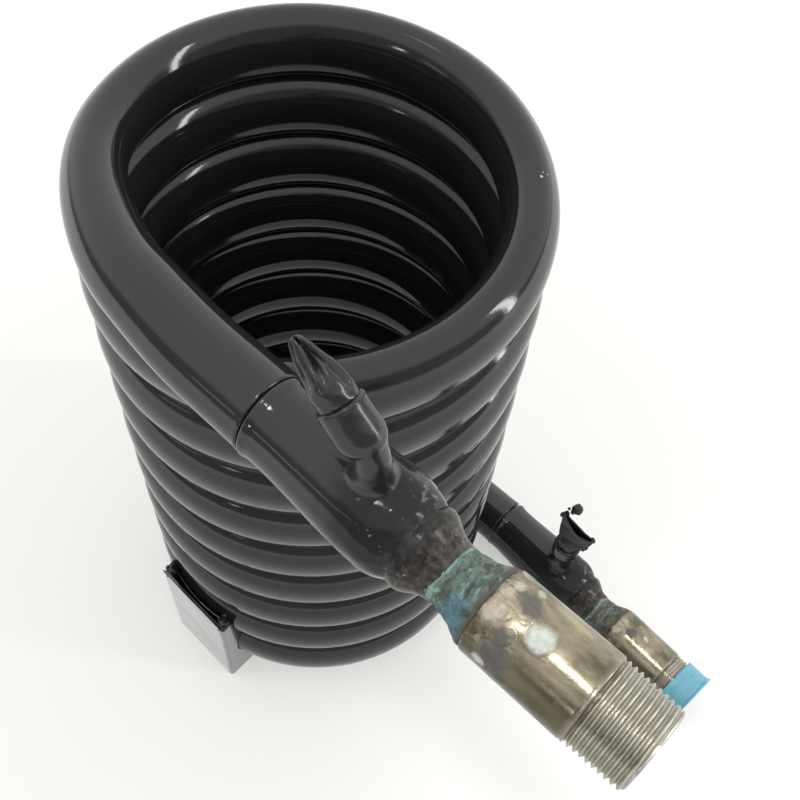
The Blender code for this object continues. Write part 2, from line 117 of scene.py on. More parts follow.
# Side stubs
STUB_SIDES = 40
STUB_STATION = 0.040
# Lumps on a socket push out from this distance along the header
LUMP_STATION = 0.038
FILLET_REACH = 0.010
SOCKET_ROWS = 7
SOCKET_WALL = 0.0011
BEAD_ROWS = 14
BEAD_SIZE = 0.00085
BEAD_HOLE = 0.0062
UPPER_CRIMP_ROWS = 10
UPPER_CRIMP_SIDES = 96
LOWER_CRIMP_ROWS = 7
LOWER_CRIMP_SIDES = 72
CRIMP_WALL = 0.0008
# The row where the inside of the lower crimp starts
MOUTH_ROW = 14

# Foot bracket
SHEET = 0.0015
FOLD_RADIUS = 0.0020
FLANGE_TOP = 0.0700
FLANGE_DEPTH = 0.0170
FLANK_STEPS = 7
COIL_CLEARANCE = 0.0005
BRACKET_WAVER = 0.00025
BRACKET_ROWS = 150
WEB_STEPS = 12

# Edges sharper than this stay sharp in the shading
SHARP_ANGLE = math.radians(50)

# Tints of what has grown on the nipples
SALT = (0.400, 0.420, 0.380)
CREAM = (0.330, 0.295, 0.235)
SOOT = (0.062, 0.056, 0.050)

# Camera, floor and light
CAMERA_PLACE = Vector((-0.17938, -0.12361, 0.58764))
CAMERA_AHEAD = Vector((0.37490, 0.41891, -0.82702))
CAMERA_RIGHT = Vector((0.71462, -0.69886, -0.03005))
CAMERA_LENS = 46.872
CAMERA_SHIFT = (0.13559, -0.06820)

FLOOR_HALF = 6.0
FLOOR_DROP = 0.0002
FLOOR_GLOW_EDGE = (0.25, 1.60)
FLOOR_GLOW = (0.46, 1.15)
PAINT_SPECULAR = 0.38
ROOM_COLOR = (0.985, 1.0, 0.99)
BRIGHT_SIDE = (0.35, 0.25, 0.90)
ROOM_EDGE = (0.12, 0.32)
ROOM_LIGHT = (0.50, 1.60)

# -------------------- places read from the frame

tube_nodes = sorted(name for name in frame["nodes"] if name.startswith("outer_tube_length"))
tube_high = Vector(map(max, *(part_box(name)[1] for name in tube_nodes)))
AXIS_X = tube_high.x - COIL_RADIUS - TUBE_RADIUS
AXIS_Y = tube_high.y - COIL_RADIUS - FLAT_RADIAL
CAP_PULL = Vector(frame["joints"][0]["axis"])


def middle(node):
    low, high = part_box(node)
    return (low + high) / 2


UP = Vector((0, 0, 1))
UPPER_OUT = Vector((0, -1, 0))
UPPER_SEAM = middle("upper_neck_sleeve") - UPPER_OUT * NECK_MIDDLE
LOWER_SEAM = middle("lower_neck_sleeve") - CAP_PULL * NECK_MIDDLE
PITCH = (UPPER_SEAM.z - LOWER_SEAM.z) / TURNS
UPPER_LEG = AXIS_Y - UPPER_SEAM.y


# -------------------- small helpers


def smoothstep(value):
    value = min(max(value, 0.0), 1.0)
    return value * value * (3 - 2 * value)


def waver(x, y, z, scale, octaves):
    """Smooth repeatable noise between about -1 and 1 at a place, with features of 1 / scale."""
    return noise.fractal(Vector((x, y, z)) * scale, 0.9, 2.1, octaves)


def circle(count):
    """Angles spread evenly over one turn."""
    return [math.tau * step / count for step in range(count)]


def around(angle, radius=1.0):
    """The x and y of a place on a circle."""
    return radius * math.cos(angle), radius * math.sin(angle)


def spline(points, per_span):
    """Points along a Catmull-Rom curve through the given ones."""
    given = [np.array(point, float) for point in points]
    given = [2 * given[0] - given[1]] + given + [2 * given[-1] - given[-2]]
    made = []
    for before, start, end, after in zip(given, given[1:], given[2:], given[3:]):
        for step in range(per_span):
            t = step / per_span
            made.append(0.5 * (2 * start + (end - before) * t
                               + (2 * before - 5 * start + 4 * end - after) * t * t
                               + (3 * start - before - 3 * end + after) * t ** 3))
    made.append(given[-2])
    return made


def placed(name, data, place):
    """A new object in the scene, seated at a place."""
    made = bpy.data.objects.new(name, data)
    bpy.context.scene.collection.objects.link(made)
    made.matrix_world = place
    return made


def grid_object(name, rows, body, matter, replaced, place=Matrix(), loop_rows=False):
    """A mesh skinned over equal closed rings, closed at its ends or, with loop_rows, on itself."""
    sides = len(rows[0])
    points = [tuple(point) for ring in rows for point in ring]
    count = len(rows)
    faces = []
    for row in range(count if loop_rows else count - 1):
        low = row * sides
        high = (row + 1) % count * sides
        for side in range(sides):
            after = (side + 1) % sides
            faces.append((low + side, low + after, high + after, high + side))
    if not loop_rows:
        faces.append(tuple(range(sides)))
        faces.append(tuple(range((count - 1) * sides, count * sides)))
    mesh = bpy.data.meshes.new(name)
    mesh.from_pydata(points, [], faces)
    finished(name, mesh, body, matter, replaced, place)


def finished(name, mesh, body, matter, replaced, place):
    """Face a mesh outwards, give it its material and seat it on its body."""
    bm = bmesh.new()
    bm.from_mesh(mesh)
    bmesh.ops.recalc_face_normals(bm, faces=bm.faces)
    bm.to_mesh(mesh)
    bm.free()
    mesh.shade_smooth()
    mesh.set_sharp_from_angle(angle=SHARP_ANGLE)
    piece = placed(name, mesh, place)
    mesh.materials.append(matter)
    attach(piece, body)
    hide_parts(*replaced)


# -------------------- materials


class Shader:
    """A node tree that feeds one surface, with short calls for the nodes that are used often."""

    def __init__(self, made, surface, coordinates):
        self.made = made
        self.made.use_nodes = True
        self.tree = made.node_tree
        self.surface = self.tree.nodes[surface]
        self.place = self.tree.nodes.new("ShaderNodeTexCoord").outputs[coordinates]

    def node(self, kind, inputs=None, **settings):
        made = self.tree.nodes.new(kind)
        for key, value in settings.items():
            setattr(made, key, value)
        for key, value in (inputs or {}).items():
            self.feed(made.inputs[key], value)
        return made

    def feed(self, socket, value):
        if isinstance(value, bpy.types.NodeSocket):
            self.tree.links.new(value, socket)
        else:
            socket.default_value = value

    def set(self, socket, value):
        self.feed(self.surface.inputs[socket], value)

    def scaled(self, factors, shift=(0, 0, 0)):
        """The object's coordinates, stretched and shifted."""
        inputs = {"Vector": self.place, "Scale": factors, "Location": shift}
        return self.node("ShaderNodeMapping", inputs).outputs[0]

    def noise(self, scale, detail=4.0, roughness=0.55, place=None, distortion=0.0):
        inputs = {"Vector": place or self.place, "Scale": scale, "Detail": detail, "Roughness": roughness,
                  "Distortion": distortion}
        return self.node("ShaderNodeTexNoise", inputs).outputs["Fac"]

    def cells(self, scale):
        """Distance to the nearest of many scattered points."""
        return self.node("ShaderNodeTexVoronoi", {"Vector": self.place, "Scale": scale}).outputs["Distance"]

    def ramp(self, value, low, high, out_low=0.0, out_high=1.0, smooth=True):
        inputs = {"Value": value, "From Min": low, "From Max": high, "To Min": out_low, "To Max": out_high}
        kind = "SMOOTHSTEP" if smooth else "LINEAR"
        return self.node("ShaderNodeMapRange", inputs, interpolation_type=kind).outputs[0]

    def math(self, kind, first, second):
        return self.node("ShaderNodeMath", {0: first, 1: second}, operation=kind).outputs[0]

    def times(self, first, second):
        return self.math("MULTIPLY", first, second)

    def plus(self, first, second):
        return self.math("ADD", first, second)

    def sway(self, noise, size):
        """Noise centred on zero, of a given size."""
        return self.times(self.math("SUBTRACT", noise, 0.5), size)

    def mix(self, share, first, second):
        made = self.node("ShaderNodeMix", data_type="RGBA")
        self.feed(made.inputs["Factor"], share)
        for socket, value in ((made.inputs[6], first), (made.inputs[7], second)):
            self.feed(socket, (*value, 1) if isinstance(value, tuple) else value)
        return made.outputs[2]

    def stained(self, color, mask, tint, share):
        """A colour covered by a tint where the mask is 1, up to a share."""
        return self.mix(self.times(mask, share), color, tint)

    def mottled(self, dark, light):
        """Two colours broken finely into each other."""
        return self.mix(self.ramp(self.noise(520.0, 6.0), 0.35, 0.72), dark, light)

    def shaded(self, color, grain):
        """A colour darkened or lightened by a factor."""
        return self.node("ShaderNodeVectorMath", {0: color, 1: grain}, operation="MULTIPLY").outputs[0]

    def axis(self, name):
        return self.node("ShaderNodeSeparateXYZ", {"Vector": self.place}).outputs[name]

    def along(self):
        """Distance along the header, in metres: the local Z of a piece seated at its seam."""
        return self.axis("Z")

    def spot(self, centre, radius, edge, ragged, scale):
        """1 inside a ragged round patch about a point, 0 outside."""
        away = self.node("ShaderNodeVectorMath", {0: self.place, 1: centre}, operation="DISTANCE")
        reach = self.plus(away.outputs["Value"], self.sway(self.noise(scale), ragged))
        return self.ramp(reach, radius, radius + edge, 1.0, 0.0)

    def bump(self, *layers):
        """Relief in layers of (height, distance, strength), each on top of the one before."""
        below = {}
        for height, distance, strength in layers:
            inputs = {"Height": height, "Distance": distance, "Strength": strength, **below}
            below = {"Normal": self.node("ShaderNodeBump", inputs).outputs[0]}
        self.set("Normal", below["Normal"])


def material(name, color, roughness, metallic=0.0):
    """A new material with plain values, most of which its maker then covers with texture."""
    made = Shader(bpy.data.materials.new(name), "Principled BSDF", "Object")
    made.set("Base Color", (*color, 1))
    made.set("Roughness", roughness)
    made.set("Metallic", metallic)
    return made


def scorched(made, color, rough, start):
    """Paint burnt thin and brown from a distance along the header, with pale specks on it."""
    reach = made.plus(made.along(), made.times(made.noise(150.0, 5.0), 0.020))
    thin = made.times(made.ramp(reach, start, start + 0.016), 0.85)
    color = made.mix(thin, color, made.mottled((0.012, 0.011, 0.010), (0.075, 0.062, 0.050)))
    made.set("Specular IOR Level", made.ramp(reach, start - 0.026, start - 0.008, PAINT_SPECULAR, 0.16))
    speck = made.ramp(made.cells(520.0), 0.10, 0.17, 1.0, 0.0)
    speck = made.times(speck, made.ramp(made.noise(75.0, 2.0), 0.50, 0.60))
    speck = made.times(speck, made.ramp(reach, start - 0.006, start + 0.006))
    color = made.stained(color, speck, (0.32, 0.29, 0.25), 0.75)
    return color, made.plus(rough, made.times(thin, 0.26))


def scratched(made, color, rough, centre, radius):
    """Fine hairlines across a patch."""
    lines = made.ramp(made.noise(420.0, 1.0, place=made.scaled((0.10, 1.0, 1.6))), 0.50, 0.66)
    lines = made.times(lines, made.spot(centre, radius, radius * 0.6, radius, 300.0))
    color = made.stained(color, lines, (0.20, 0.16, 0.19), 0.40)
    return color, made.plus(rough, made.times(lines, 0.15))


def chipped(made, color, rough, centre, radius):
    """A chip through the paint to bare metal."""
    chip = made.spot(centre, radius, radius * 0.25, radius * 2.6, 900.0)
    metal = made.mix(made.noise(700.0), (0.24, 0.13, 0.09), (0.62, 0.57, 0.52))
    return made.mix(chip, color, metal), made.plus(rough, made.times(chip, 0.45))


def black_paint(name, chips=(), scratches=(), fade_start=None, matt=0.0, lacquer=0.0):
    """Gloss black enamel with faint orange peel and dust; chips, hairlines and fading on request."""
    made = material(name, (0.010, 0.010, 0.0105), 0.10)
    dust = made.ramp(made.cells(1100.0), 0.030, 0.055, 1.0, 0.0)
    dusted = made.times(dust, made.ramp(made.noise(60.0, 2.0), 0.58, 0.68))
    color = made.mix(made.noise(22.0, 3.0), (0.0075, 0.0085, 0.0095), (0.0125, 0.0130, 0.0135))
    color = made.stained(color, dusted, (0.12, 0.118, 0.11), 0.35)
    rough = made.ramp(made.noise(12.0, 5.0), 0.35, 0.75, 0.06 + matt, 0.15 + matt)
    smear = made.ramp(made.noise(9.0, 3.0, place=made.scaled((1.0, 1.0, 5.0))), 0.50, 0.75, 0.0, 0.08)
    rough = made.plus(made.plus(rough, smear), made.times(dusted, 0.3))
    if fade_start is None:
        made.set("Specular IOR Level", PAINT_SPECULAR)
    else:
        color, rough = scorched(made, color, rough, fade_start)
    for centre, radius in scratches:
        color, rough = scratched(made, color, rough, centre, radius)
    for centre, radius in chips:
        color, rough = chipped(made, color, rough, centre, radius)
    made.set("Base Color", color)
    made.set("Roughness", rough)
    made.set("Coat Weight", lacquer)
    made.bump((made.noise(120.0, 2.0), 0.00008, 0.6), (made.noise(900.0, 3.0), 0.00002, 0.6))
    return made.made


def verdigris_color(made, aged):
    """Grey-green salts with teal streaks round the neck, a bluer underside and brown islands."""
    fine = made.noise(620.0, 8.0, 0.68)
    streak = made.noise(190.0, 6.0, 0.62, place=made.scaled((1.0, 1.0, 2.4)), distortion=0.6)
    color = made.mix(made.ramp(streak, 0.36, 0.60), (0.038, 0.045, 0.038), (0.105, 0.145, 0.122))
    pale = made.noise(260.0, 7.0, 0.66, place=made.scaled((1.0, 1.0, 2.0), (0.3, 0.1, 0.2)))
    color = made.stained(color, made.ramp(pale, 0.55, 0.63), (0.170, 0.285, 0.255), 0.8)
    under = made.math("SUBTRACT", made.axis("Y"), made.times(made.axis("X"), 0.6))
    under = made.plus(under, made.sway(streak, 0.020))
    blue = made.times(made.ramp(under, -0.001, 0.005), made.ramp(made.along(), 0.0735, 0.0755))
    color = made.stained(color, blue, (0.066, 0.165, 0.205), 0.8)
    brown = made.ramp(made.noise(120.0, 7.0, 0.66), 0.55, 0.62)
    color = made.stained(color, brown, (0.066, 0.052, 0.040), 0.8)
    olive = made.mix(made.ramp(streak, 0.40, 0.62), (0.048, 0.045, 0.036), (0.150, 0.150, 0.105))
    color = made.mix(aged, color, olive)
    grain = made.ramp(fine, 0.32, 0.68, 0.45, 1.35, smooth=False)
    return made.shaded(color, grain), fine, streak


def verdigris(name, aged):
    """Copper gone green and blue under crust; dark paint still covers its inner end."""
    made = material(name, (0.17, 0.33, 0.31), 0.75)
    color, fine, streak = verdigris_color(made, aged)
    reach = made.plus(made.along(), made.sway(streak, 0.010))
    rim = made.times(made.ramp(reach, 0.0685, 0.0690), made.ramp(reach, 0.0696, 0.0712, 1.0, 0.0))
    color = made.stained(color, rim, (0.200, 0.330, 0.295), 0.8)
    early = made.ramp(reach, 0.0682, 0.0690, 1.0, 0.0)
    paint = made.mottled((0.014, 0.013, 0.012), (0.085, 0.070, 0.056))
    made.set("Base Color", made.mix(early, color, paint))
    made.set("Roughness", made.ramp(early, 0.0, 1.0, 0.85, 0.38))
    made.bump((streak, 0.0014, 1.0), (fine, 0.0008, 1.0))
    return made.made


def crust(name, aged):
    """The braze ring: the same salts, with tan flux and a dark seam against the nipple."""
    made = material(name, (0.30, 0.42, 0.37), 0.85)
    color, fine, streak = verdigris_color(made, aged)
    flux = made.noise(220.0, 7.0, 0.66, place=made.scaled((1, 1, 1), (0.5, 0.2, 0.7)))
    color = made.stained(color, made.ramp(flux, 0.56, 0.62), (0.215, 0.205, 0.150), 0.7)
    reach = made.plus(made.along(), made.sway(streak, 0.006))
    color = made.stained(color, made.ramp(reach, 0.0812, 0.0819), (0.070, 0.058, 0.044), 0.85)
    made.set("Base Color", color)
    made.set("Roughness", made.ramp(fine, 0.3, 0.7, 0.70, 0.95))
    made.bump((streak, 0.0015, 1.0), (fine, 0.0009, 1.0))
    return made.made


def worn_barrel(made, along):
    """Colour and roughness of olive metal, darker on one side from grime and painted shade, paler and rougher
    on the thread.
    """
    cloudy = made.noise(75.0, 6.0, 0.62, place=made.scaled((1.0, 1.0, 0.45)), distortion=0.4)
    color = made.mix(made.ramp(cloudy, 0.36, 0.66), (0.095, 0.083, 0.058), (0.315, 0.275, 0.190))
    # One side of the barrel is painted darker: partly grime, partly painted shade for the dimmer room that
    # side faces.
    grime_and_painted_shade = made.plus(made.axis("Y"), made.sway(cloudy, 0.008))
    color = made.stained(color, made.ramp(grime_and_painted_shade, 0.0050, 0.0115), (0.075, 0.064, 0.042), 0.7)
    thread = made.ramp(along, THREAD_START - 0.001, THREAD_START + 0.004)
    color = made.stained(color, thread, (0.440, 0.420, 0.370), 0.85)
    rough = made.ramp(made.noise(140.0, 5.0), 0.3, 0.7, 0.17, 0.33)
    return color, made.plus(rough, made.times(thread, 0.10))


def crusted(made, along, color, patches):
    """Cream crust beside the braze, and patches of given tints; also a mask of both."""
    broken = made.noise(115.0, 7.0, 0.64, place=made.scaled((1, 1, 1), (0.3, 0.1, 0.2)))
    mask = made.times(made.ramp(broken, 0.50, 0.60), made.ramp(along, 0.0835, 0.0905, 1.0, 0.0))
    color = made.stained(color, mask, CREAM, 0.9)
    for centre, radius, ragged, tint in patches:
        patch = made.spot(centre, radius * 0.55, radius * 0.8, ragged * 1.5, 260.0)
        color = made.stained(color, patch, tint, 0.9)
        mask = made.math("MAXIMUM", mask, patch)
    return color, mask


def nickel_brass(name, patches):
    """Worn nickel on brass: crusted and stained near the braze, olive on the barrel, paler on the thread."""
    made = material(name, (0.20, 0.17, 0.12), 0.28, 1.0)
    along = made.along()
    color, rough = worn_barrel(made, along)
    near = made.ramp(along, 0.0845, 0.1010, 1.0, 0.0)
    fine = made.noise(640.0, 7.0, 0.66)
    stain = made.times(made.ramp(made.noise(95.0, 6.0, 0.6, distortion=0.6), 0.46, 0.58), near)
    color = made.stained(color, stain, (0.120, 0.108, 0.094), 0.8)
    rough = made.plus(rough, made.times(stain, 0.30))
    color, crusty = crusted(made, along, color, patches)
    dull = made.math("MAXIMUM", made.times(stain, 0.6), crusty)
    edge = made.times(made.ramp(along, 0.0832, 0.0848, 1.0, 0.0), made.ramp(fine, 0.42, 0.55))
    color = made.stained(color, edge, (0.085, 0.064, 0.044), 0.8)
    grain = made.ramp(fine, 0.30, 0.72, 0.70, 1.18, smooth=False)
    grainy = made.ramp(made.math("MAXIMUM", dull, near), 0.0, 1.0)
    color = made.mix(grainy, color, made.shaded(color, grain))
    speck = made.ramp(made.cells(420.0), 0.10, 0.16, 1.0, 0.0)
    pits = made.times(speck, made.ramp(made.noise(45.0, 2.0), 0.55, 0.62))
    made.set("Base Color", made.stained(color, pits, (0.10, 0.082, 0.060), 0.5))
    made.set("Metallic", made.ramp(dull, 0.0, 1.0, 1.0, 0.0, smooth=False))
    made.set("Roughness", made.plus(rough, made.times(dull, 0.45)))
    lumpy = made.times(crusty, made.plus(made.noise(420.0, 6.0), 0.3))
    turned = made.noise(60.0, 3.0, place=made.scaled((1.0, 1.0, 60.0)))
    made.bump((lumpy, 0.0006, 0.9), (turned, 0.00003, 0.5))
    return made.made


def blue_plastic(name):
    made = material(name, (0.08, 0.34, 0.44), 0.32)
    made.set("Base Color", made.mix(made.noise(90.0, 3.0), (0.072, 0.225, 0.290), (0.115, 0.320, 0.395)))
    made.set("Roughness", made.ramp(made.noise(200.0, 4.0), 0.3, 0.7, 0.24, 0.42))
    made.set("Subsurface Weight", 0.35)
    made.set("Subsurface Radius", (0.001, 0.003, 0.004))
    made.set("Subsurface Scale", 1.0)
    made.bump((made.noise(320.0, 3.0), 0.00008, 0.6))
    return made.made


def dull_copper(name):
    made = material(name, (0.42, 0.21, 0.13), 0.45, 1.0)
    made.set("Base Color", made.mix(made.noise(160.0, 5.0), (0.28, 0.13, 0.08), (0.55, 0.29, 0.19)))
    made.set("Roughness", made.ramp(made.noise(300.0, 4.0), 0.3, 0.7, 0.32, 0.6))
    made.bump((made.noise(500.0, 3.0), 0.00008, 0.5))
    return made.made


def pale_floor(name):
    """A white table top that glows a little, more so far out, so its shadows stay faint."""
    made = material(name, (0.33, 0.328, 0.322), 0.6)
    made.set("Base Color", made.mix(made.noise(3.0, 3.0), (0.33, 0.328, 0.320), (0.35, 0.348, 0.340)))
    made.set("Emission Color", (1.0, 0.995, 0.975, 1.0))
    away = made.node("ShaderNodeVectorMath", {0: made.place, 1: (0.0, 0.0, 0.0)}, operation="DISTANCE")
    made.set("Emission Strength", made.ramp(away.outputs["Value"], *FLOOR_GLOW_EDGE, *FLOOR_GLOW))
    made.bump((made.noise(140.0, 4.0), 0.0001, 0.15))
    return made.made


# -------------------- the coil


def leg_offset(travelled):
    """How far outside the coil's radius the tube runs, at a distance along it from the upper seam."""
    offset = LEG_BEND[0][1]
    for (start, before), (end, after) in zip(LEG_BEND, LEG_BEND[1:]):
        offset += (after - before) * smoothstep((travelled - start) / (end - start))
    return offset


def half_sizes(blend):
    """Half width and half height of the section, from flattened at 0 to round at 1."""
    width = FLAT_RADIAL + (TUBE_RADIUS - FLAT_RADIAL) * blend
    height = FLAT_AXIAL + (TUBE_RADIUS - FLAT_AXIAL) * blend
    return width, height


def upper_roundness(travelled):
    return smoothstep((UPPER_ROUND_END - travelled) / (UPPER_ROUND_END - UPPER_ROUND_START))


def coil_station(turned):
    """Centre, outward and upward directions and half sizes after an angle from the upper end."""
    left = math.tau * TURNS - turned
    travelled = UPPER_LEG + COIL_RADIUS * turned
    blend = max(upper_roundness(travelled), smoothstep(1 - left / LOWER_ROUNDING_ARC))
    angle = math.pi - turned
    across = Vector((math.cos(angle), math.sin(angle), 0))
    along = Vector((COIL_RADIUS * math.sin(angle), -COIL_RADIUS * math.cos(angle), -PITCH / math.tau))
    up = along.normalized().cross(across)
    wander = WINDING_WAVER * (1 - blend) * waver(turned, 0.3, 0.7, 0.9, 2)
    radius = COIL_RADIUS + leg_offset(travelled) + wander
    height = UPPER_SEAM.z - PITCH * turned / math.tau
    centre = across * radius + Vector((AXIS_X, AXIS_Y, height))
    return centre, across, up, *half_sizes(blend)


def end_bell(travelled):
    """The slight flare of the tube's mouth and the rounding of its lip."""
    lip = max(0.0, 1 - travelled / LIP_DEPTH) ** 2
    return BELL_RISE * math.exp(-travelled / BELL_DEPTH) - LIP_DROP * lip


def leg_rows(length):
    """Distances along a leg, closer together at the seam."""
    return [length * (row / LEG_ROWS) ** 1.8 for row in range(LEG_ROWS)]


def upper_leg():
    """Stations from the upper seam to the coil, bending in as the tube flattens."""
    made = []
    for travelled in leg_rows(UPPER_LEG):
        width, height = half_sizes(upper_roundness(travelled))
        bell = end_bell(travelled)
        x = AXIS_X - COIL_RADIUS - leg_offset(travelled)
        centre = Vector((x, UPPER_SEAM.y + travelled, UPPER_SEAM.z))
        made.append((centre, Vector((-1, 0, 0)), UP, width + bell, height + bell))
    return made


def lower_leg(start):
    """Stations from the lower seam to where the coil ends."""
    made = []
    reach = (start - LOWER_SEAM).length
    for travelled in leg_rows(reach):
        size = TUBE_RADIUS + end_bell(travelled)
        centre = LOWER_SEAM.lerp(start, travelled / reach)
        made.append((centre, Vector((1, 0, 0)), UP, size, size))
    return made


def tube_stations():
    count = round(TURNS * STATIONS_PER_TURN)
    coil = [coil_station(math.tau * step / STATIONS_PER_TURN) for step in range(count + 1)]
    return upper_leg() + coil + lower_leg(coil[-1][0])[::-1]


def ring(station, sides, thinner=0.0):
    centre, across, up, width, tall = station
    made = []
    for angle in circle(sides):
        sideways = across * (width - thinner) * math.cos(angle)
        made.append(centre + sideways + up * (tall - thinner) * math.sin(angle))
    return made


def coil_tube(matter):
    """One unbroken tube from seam to seam, hollow, standing for the ten CAD lengths."""
    stations = tube_stations()
    outer = [ring(station, TUBE_SIDES) for station in stations]
    inside = stations[::INSIDE_SKIP] + [stations[-1]]
    inner = [ring(station, TUBE_SIDES, TUBE_WALL) for station in inside]
    grid_object("coil_tube", outer + inner[::-1], "chiller", matter, tube_nodes,
                loop_rows=True)


def water_tube(matter):
    """The tube inside, which runs on past each seam and ends in the nipples."""
    step = WATER_REACH / WATER_STEPS
    before = [(UPPER_SEAM + UPPER_OUT * step * k, Vector((-1, 0, 0)), UP) for k in range(WATER_STEPS, 0, -1)]
    after = [(LOWER_SEAM + CAP_PULL * step * k, Vector((1, 0, 0)), UP) for k in range(1, WATER_STEPS + 1)]
    coil = [station[:3] for station in tube_stations()[::WATER_SKIP]]
    path = [(*seat, WATER_RADIUS, WATER_RADIUS) for seat in before + coil + after]
    outer = [ring(station, WATER_SIDES) for station in path]
    inner = [ring(station, WATER_SIDES, WATER_WALL) for station in path]
    grid_object("water_tube", outer + inner[::-1], "chiller", matter, ["inner_water_tube"],
                loop_rows=True)


# -------------------- headers


def header_place(seam, out):
    """A seat at the seam: local Z runs out along the header, local X points up."""
    place = Matrix((UP, out.cross(UP), out)).transposed().to_4x4()
    place.translation = seam
    return place


def lathe(name, profile, matter, replaced, place, swell, body="chiller", steps=HEADER_STEPS):
    """Spin a closed (distance, radius) outline; swell(angle, distance, radius) gives the radius there."""
    rows = []
    for along, radius in profile:
        made = []
        for angle in circle(steps):
            made.append((*around(angle, swell(angle, along, radius)), along))
        rows.append(made)
    grid_object(name, rows, body, matter, replaced, place, loop_rows=True)


def even_rows(start, end, radius, count):
    """Evenly spaced outline points at one radius, from just after the start to the end."""
    return [(start + (end - start) * k / count, radius) for k in range(1, count + 1)]


# Outlines are (distance from the seam, radius)
BODY_OUTLINE = [
    (0.0003, 0.01380), (0.0006, 0.01440), (0.0013, 0.01475), (0.0024, 0.01462), (0.0048, 0.01422),
    (0.0120, 0.01430), (0.0220, 0.01490), (0.0320, 0.01560), (0.0400, 0.01600), (0.0450, 0.01618),
    (0.0490, 0.01605), (0.0520, 0.01555), (0.0545, 0.01475), (0.0562, 0.01385), (0.0572, 0.01330),
    (0.0580, 0.01310),
]
BODY_HOLLOW = [
    (0.0560, 0.0098), (0.0540, 0.0124), (0.0440, 0.0138), (0.0220, 0.0125), (0.0040, 0.0101),
    (0.0003, 0.0101),
]
COLLAR_OUTLINE = [
    (0.0570, 0.01290), (0.0582, 0.01325), (0.0596, 0.01345), (0.0612, 0.01320), (0.0628, 0.01240),
    (0.0644, 0.01135), (0.0660, 0.01040), (0.0680, 0.00975), (0.0700, 0.00950),
]
COLLAR_HOLLOW = [(0.0700, 0.00945), (0.0570, 0.00945)]
BRAZE_OUTLINE = [
    (0.0735, BRAZE_RADIUS), (0.0755, 0.0101), (0.0778, 0.0107), (0.0800, 0.0116), (0.0818, 0.0124),
    (0.0828, 0.0125), (0.0834, 0.0119),
]
BRAZE_HOLLOW = [(0.0834, 0.0095), (0.0735, 0.0095)]


def hammered(seed, strength):
    """Uneven metal that is smooth on the barrel and lumpier over the shoulder."""
    def swell(angle, along, radius):
        x, y = around(angle, radius)
        share = smoothstep((along - 0.036) / 0.016)
        broad = waver(x + seed, y, along, 95.0, 2)
        fine = waver(x, y + seed, along, 330.0, 2)
        return radius + strength * share * (broad * 0.00045 + fine * 0.00012)
    return swell


def header_body(prefix, place, matter, seed):
    profile = spline(BODY_OUTLINE, OUTLINE_ROWS) + BODY_HOLLOW
    lathe(prefix + "_body", profile, matter, [prefix + "_header_body"], place,
          hammered(seed, 1.0))


def collar(prefix, place, matter, seed):
    profile = spline(COLLAR_OUTLINE, OUTLINE_ROWS) + COLLAR_HOLLOW
    lathe(prefix + "_collar", profile, matter, [prefix + "_weld_collar"], place,
          hammered(seed, 0.9))


def neck(prefix, place, matter, seed, lumps):
    """The copper neck, with a raised line of crust round it."""
    def swell(angle, along, radius):
        if radius < NECK_RADIUS:
            return radius
        x, y = around(angle, radius)
        shown = smoothstep((along - 0.0655) / 0.003) * smoothstep((0.0850 - along) / 0.003)
        rough = waver(x + seed, y, along, 210.0, 4)
        ridge = math.exp(-((along - 0.0738 - 0.0012 * waver(x, y, seed, 60.0, 2)) / 0.0007) ** 2)
        return radius + lumps * shown * (0.00030 * rough + 0.00035 * ridge)
    outer = [(NECK_START, NECK_RADIUS)] + even_rows(NECK_START, NECK_END, NECK_RADIUS, NECK_ROWS)
    inner = [(NECK_END, NECK_BORE), (NECK_START, NECK_BORE)]
    lathe(prefix + "_neck", outer + inner, matter, [prefix + "_neck_sleeve"], place, swell)


def solder(prefix, place, matter, seed, lumps):
    """Braze run out to a ragged edge over the neck and against the nipple's shoulder."""
    def swell(angle, along, radius):
        if radius < BRAZE_RADIUS:
            return radius
        x, y = around(angle, radius)
        rough = waver(x + seed, y, along, 230.0, 4)
        sag = 0.5 - 0.5 * math.cos(angle)
        edge = waver(*around(angle), seed, 1.6, 2)
        climb = smoothstep((along - 0.0740 + 0.0020 * edge) / 0.008)
        stood = (radius - BRAZE_FOOT) * (0.55 + 0.45 * climb)
        return BRAZE_FOOT + stood + lumps * 0.00042 * rough + 0.0004 * sag * climb
    profile = spline(BRAZE_OUTLINE, OUTLINE_ROWS) + BRAZE_HOLLOW
    lathe(prefix + "_braze", profile, matter, [prefix + "_solder_ring"], place, swell)


def thread_phase(angle, along):
    """Turns of the one-start helical thread passed at a place on it."""
    return (along - THREAD_START) / THREAD_PITCH - angle / math.tau


def thread_radius(angle, along):
    """Radius of the tapered thread, running out where the plain barrel begins."""
    saw = abs((thread_phase(angle, along) % 1.0) - 0.5) * 2
    cut = min(max((saw - 0.12) / 0.76, 0.0), 1.0)
    fade = smoothstep((along - THREAD_START) / 0.0022)
    taper = THREAD_TAPER * max(0.0, along - THREAD_START)
    return NIPPLE_RADIUS - taper - THREAD_DEPTH * cut * fade


